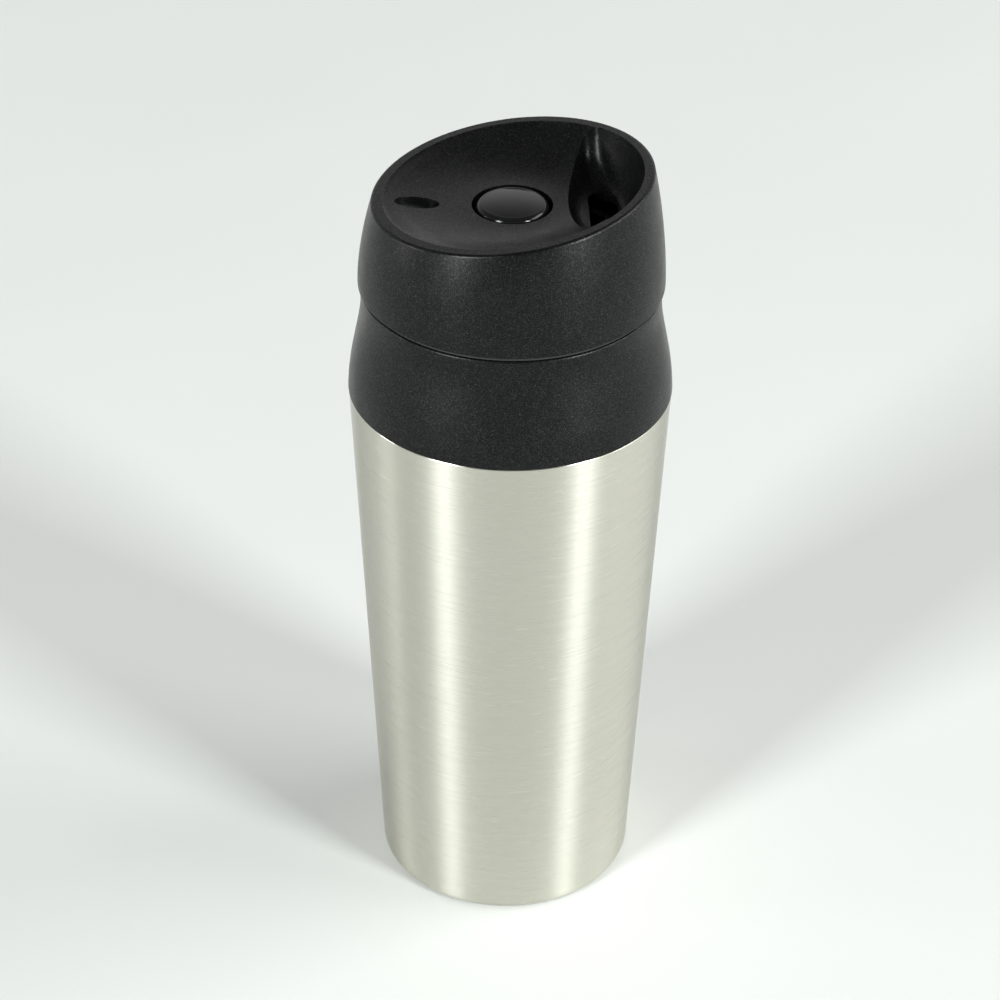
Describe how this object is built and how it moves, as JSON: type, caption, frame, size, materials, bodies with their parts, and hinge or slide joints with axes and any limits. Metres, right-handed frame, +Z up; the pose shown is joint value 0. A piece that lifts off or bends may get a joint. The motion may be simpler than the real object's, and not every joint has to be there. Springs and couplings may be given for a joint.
{
  "type": "insulated travel mug",
  "caption": "Vacuum-walled travel mug with a tapered steel body, a screw lid with a sloping rim, a drinking scoop and a press-button valve.",
  "frame": {"origin": "on the mug's axis, in the plane of the underside it stands on", "axes": "+Z up along the mug's axis; +X towards the high side of the lid, where the drinking scoop is"},
  "size_m": [0.0802, 0.0802, 0.205],
  "materials": {
    "steel_outside": "satin brushed round the body",
    "steel_inside": "electropolished, fine drawn grain",
    "glass_solder": "melted grey glass bead",
    "getter_metal": "pressed metal powder",
    "soft_rubber": "matt",
    "black_shell_plastic": "matt charcoal with a fine metallic speckle",
    "black_button_plastic": "satin charcoal, smoother than the cover",
    "black_inner_plastic": "fine moulded texture",
    "white_acetal": "smooth moulded",
    "spring_steel": "bright drawn wire",
    "clear_silicone": "milky silicone, soft sheen",
    "black_silicone": "matt silicone"
  },
  "bodies": {
    "mug": {"outer_shell": "steel_outside", "inner_cup": "steel_inside", "base_plate": "steel_inside", "vacuum_seal": "glass_solder", "getter": "getter_metal", "base_pad": "soft_rubber", "collar": "black_shell_plastic", "collar_seal": "clear_silicone"},
    "lid_carrier": {"lid_seal": "clear_silicone"},
    "lid": {"lid_cover": "black_shell_plastic", "lid_plug": "black_inner_plastic", "click_tower": "black_inner_plastic", "core_gasket": "clear_silicone", "cam_sleeve": "white_acetal", "spring_seat": "spring_steel", "return_spring": "spring_steel"},
    "plunger": {"push_button": "black_button_plastic", "button_seal": "black_silicone", "valve_stem": "white_acetal", "stem_o_ring": "black_silicone", "valve_plate": "black_inner_plastic", "valve_seal": "clear_silicone", "valve_nut": "black_inner_plastic"},
    "rotor": {"click_rotor": "white_acetal"}
  },
  "joints": [
    {"name": "lid_lift", "type": "slide", "parent": "mug", "child": "lid_carrier", "axis": [0, 0, 1], "range_m": [0, 0.0721]},
    {"name": "lid_turn", "type": "hinge", "parent": "lid_carrier", "child": "lid", "pos_m": [0, 0, 0.174], "axis": [0, 0, 1], "range_deg": [0, 2160]},
    {"name": "button_press", "type": "slide", "parent": "lid", "child": "plunger", "axis": [0, 0, -1], "range_m": [0, 0.006], "stiffness_N_per_m": 600, "springref_m": -0.006, "deforming": ["return_spring"]},
    {"name": "rotor_turn", "type": "hinge", "parent": "plunger", "child": "rotor", "pos_m": [0, 0, 0.174], "axis": [0, 0, 1], "range_deg": [0, 45.2]}
  ],
  "couplings": [
    {"joint": "lid_lift", "follows": "lid_turn", "m_per_rad": 0.0019099},
    {"joint": "rotor_turn", "follows": "button_press", "rad_per_m": 130.9}
  ]
}
